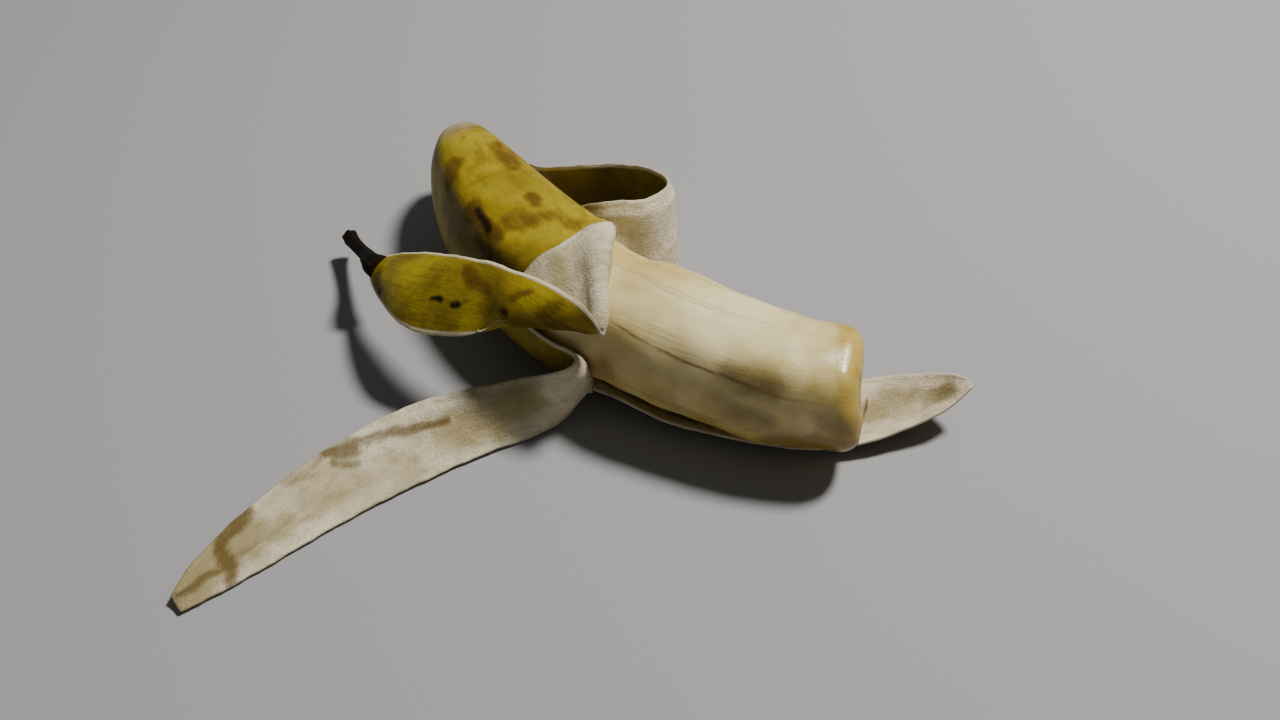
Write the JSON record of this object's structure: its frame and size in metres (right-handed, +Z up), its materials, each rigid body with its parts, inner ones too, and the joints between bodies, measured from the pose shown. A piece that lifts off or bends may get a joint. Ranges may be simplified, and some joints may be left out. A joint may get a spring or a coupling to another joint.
{
  "type": "half-peeled banana",
  "caption": "Half-peeled banana lying on its side, with a closed peel cup, torn peel strips laid back, bare flesh with a bitten end and a short dark stem.",
  "frame": {"origin": "middle of the footprint, on the surface that the banana lies on", "axes": "+X is the longest extent, towards the bitten end of the flesh; +Y points towards the unpeeled end; +Z is up and is the shortest extent"},
  "size_m": [0.1755, 0.1515, 0.0429],
  "materials": {
    "flesh": "moist banana flesh, soft satin",
    "peel": "waxy yellow skin with brown spots, pale fibrous inside",
    "stem": "dry, dark and rough"
  },
  "bodies": {
    "root": {"flesh": "flesh", "peel": "peel", "stem": "stem"}
  },
  "joints": []
}
